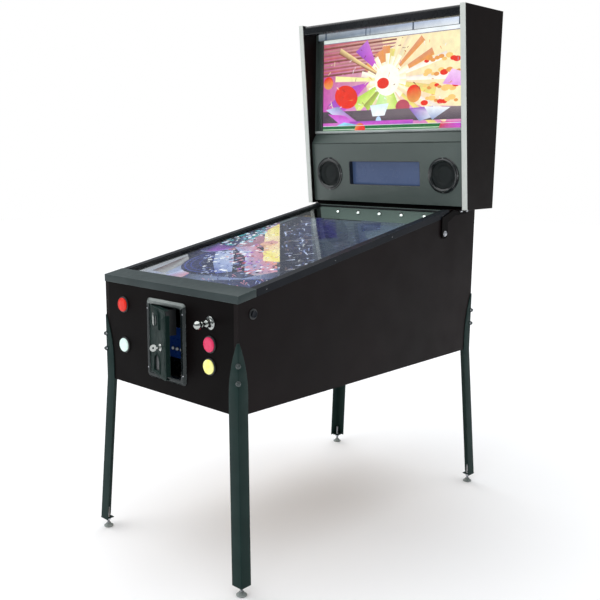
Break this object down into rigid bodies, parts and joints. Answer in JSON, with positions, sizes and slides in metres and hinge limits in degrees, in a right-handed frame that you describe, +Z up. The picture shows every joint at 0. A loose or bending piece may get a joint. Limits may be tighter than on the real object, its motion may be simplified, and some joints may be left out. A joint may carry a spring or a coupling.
{
  "type": "pinball machine",
  "caption": "Full-size arcade pinball table on splayed legs, with a sloping glazed playfield screen, coin door, plunger, push buttons and a fold-down upright head.",
  "frame": {"origin": "on the floor under the middle of the machine's outline", "axes": "+Z up; +X to the player's right; +Y away from the player"},
  "size_m": [0.8016, 1.4239, 1.8963],
  "materials": {
    "black_board": "satin black paint on board",
    "inner_board": "bare board",
    "leg_steel": "satin dark grey-green powder coat",
    "bar_metal": "satin dark grey powder coat",
    "rail_metal": "satin black powder coat",
    "zinc_steel": "zinc plated",
    "chrome": "polished",
    "clear_glass": "clear toughened",
    "screen_face": "lit picture behind glass",
    "picture_face": "lit picture behind glass",
    "score_face": "blue lit glass",
    "black_plastic": "moulded black",
    "grey_panel": "satin grey-green",
    "pale_trim": "extruded pale edging",
    "lamp_clear": "clear lamp domes",
    "door_steel": "satin dark powder coat",
    "frame_steel": "satin grey, worn bright on the chamfer",
    "service_blue": "blue enamel",
    "box_steel": "grey sheet",
    "red": "translucent red",
    "white": "translucent white",
    "pink": "translucent pink",
    "yellow": "translucent yellow",
    "pad": "pale glide pad on a plated stud"
  },
  "bodies": {
    "cabinet": {"cabinet_side_left": "black_board", "cabinet_side_right": "black_board", "cabinet_front_panel": "black_board", "cabinet_back_panel": "black_board", "cabinet_floor": "inner_board", "cabinet_rear_shelf": "inner_board", "cabinet_battens": "inner_board", "cabinet_bolts": "zinc_steel", "legs": "leg_steel", "lockbar_receiver": "zinc_steel", "side_rails": "rail_metal", "playfield_glass": "clear_glass", "glass_channels": "black_plastic", "playfield_screen": "screen_face", "playfield_screen_case": "black_plastic", "flasher_panel": "grey_panel", "flasher_lamps": "lamp_clear", "coin_door_frame": "frame_steel", "service_panel": "service_blue", "cash_box": "zinc_steel", "computer": "box_steel", "power_inlet": "black_plastic", "plunger_housing": "chrome", "button_housings": "black_plastic"},
    "head": {"head_side_left": "black_board", "head_side_right": "black_board", "head_top": "black_board", "head_bottom": "black_board", "head_back_panel": "black_board", "head_edge_trim": "pale_trim", "head_hinge_arms": "rail_metal", "head_valance": "black_board", "backglass_screen": "picture_face", "backglass_surround": "grey_panel", "speaker_panel": "grey_panel", "speaker_grilles": "black_plastic", "speaker_drivers": "black_plastic", "score_display": "score_face"},
    "lockdown_bar": {"lockdown_bar": "bar_metal"},
    "lockbar_lever": {"lockbar_lever": "zinc_steel"},
    "coin_door": {"coin_door": "door_steel", "coin_entry_plate": "black_plastic", "coin_lock_barrel": "chrome", "coin_mech": "black_plastic"},
    "coin_lock_key": {"coin_lock_key": "chrome"},
    "coin_return_flap": {"coin_return_flap": "black_plastic"},
    "plunger": {"plunger_rod": "chrome", "plunger_knob": "chrome", "plunger_spring": "zinc_steel"},
    "power_switch": {"power_switch": "black_plastic"},
    "button_red": {"button_red": "red"},
    "button_white": {"button_white": "white"},
    "button_pink": {"button_pink": "pink"},
    "button_yellow": {"button_yellow": "yellow"},
    "flipper_button_left": {"flipper_button_left": "black_plastic"},
    "flipper_button_right": {"flipper_button_right": "black_plastic"},
    "leveler_front_left": {"leveler_front_left": "pad"},
    "leveler_front_right": {"leveler_front_right": "pad"},
    "leveler_rear_left": {"leveler_rear_left": "pad"},
    "leveler_rear_right": {"leveler_rear_right": "pad"}
  },
  "joints": [
    {"name": "head_fold", "type": "hinge", "parent": "cabinet", "child": "head", "pos_m": [0, 0.458, 1.061], "axis": [1, 0, 0], "range_deg": [0, 90]},
    {"name": "lockdown_bar_lift", "type": "slide", "parent": "cabinet", "child": "lockdown_bar", "axis": [0, 0, 1], "range_m": [0, 0.06]},
    {"name": "lockbar_lever_swing", "type": "hinge", "parent": "cabinet", "child": "lockbar_lever", "pos_m": [0.12, -0.608, 0.905], "axis": [0, -1, 0], "range_deg": [0, 25]},
    {"name": "coin_door_swing", "type": "hinge", "parent": "cabinet", "child": "coin_door", "pos_m": [-0.076, -0.639, 0.759], "axis": [0, 0, -1], "range_deg": [-20, 70]},
    {"name": "coin_lock_turn", "type": "hinge", "parent": "coin_door", "child": "coin_lock_key", "pos_m": [0.02267, -0.67491, 0.748], "axis": [-0.342, -0.9397, 0], "range_deg": [0, 90]},
    {"name": "coin_return_swing", "type": "hinge", "parent": "coin_door", "child": "coin_return_flap", "pos_m": [-0.01107, -0.65944, 0.71], "axis": [0.9397, -0.342, 0], "range_deg": [0, 40]},
    {"name": "plunger_pull", "type": "slide", "parent": "cabinet", "child": "plunger", "axis": [0, -1, 0], "range_m": [0, 0.06], "stiffness_N_per_m": 250, "springref_m": -0.02, "deforming": ["plunger_spring"]},
    {"name": "power_switch_rock", "type": "hinge", "parent": "cabinet", "child": "power_switch", "pos_m": [-0.22, 0.678, 0.665], "axis": [1, 0, 0], "range_deg": [0, 14]},
    {"name": "button_red_press", "type": "slide", "parent": "cabinet", "child": "button_red", "axis": [0, 1, 0], "range_m": [0, 0.003], "stiffness_N_per_m": 400, "springref_m": -0.003},
    {"name": "button_white_press", "type": "slide", "parent": "cabinet", "child": "button_white", "axis": [0, 1, 0], "range_m": [0, 0.003], "stiffness_N_per_m": 400, "springref_m": -0.003},
    {"name": "button_pink_press", "type": "slide", "parent": "cabinet", "child": "button_pink", "axis": [0, 1, 0], "range_m": [0, 0.003], "stiffness_N_per_m": 400, "springref_m": -0.003},
    {"name": "button_yellow_press", "type": "slide", "parent": "cabinet", "child": "button_yellow", "axis": [0, 1, 0], "range_m": [0, 0.003], "stiffness_N_per_m": 400, "springref_m": -0.003},
    {"name": "flipper_button_left_press", "type": "slide", "parent": "cabinet", "child": "flipper_button_left", "axis": [1, 0, 0], "range_m": [0, 0.004], "stiffness_N_per_m": 300, "springref_m": -0.003},
    {"name": "flipper_button_right_press", "type": "slide", "parent": "cabinet", "child": "flipper_button_right", "axis": [-1, 0, 0], "range_m": [0, 0.004], "stiffness_N_per_m": 300, "springref_m": -0.003},
    {"name": "leveler_front_left_screw", "type": "slide", "parent": "cabinet", "child": "leveler_front_left", "axis": [0, 0, -1], "range_m": [0, 0.02]},
    {"name": "leveler_front_right_screw", "type": "slide", "parent": "cabinet", "child": "leveler_front_right", "axis": [0, 0, -1], "range_m": [0, 0.02]},
    {"name": "leveler_rear_left_screw", "type": "slide", "parent": "cabinet", "child": "leveler_rear_left", "axis": [0, 0, -1], "range_m": [0, 0.02]},
    {"name": "leveler_rear_right_screw", "type": "slide", "parent": "cabinet", "child": "leveler_rear_right", "axis": [0, 0, -1], "range_m": [0, 0.02]}
  ]
}
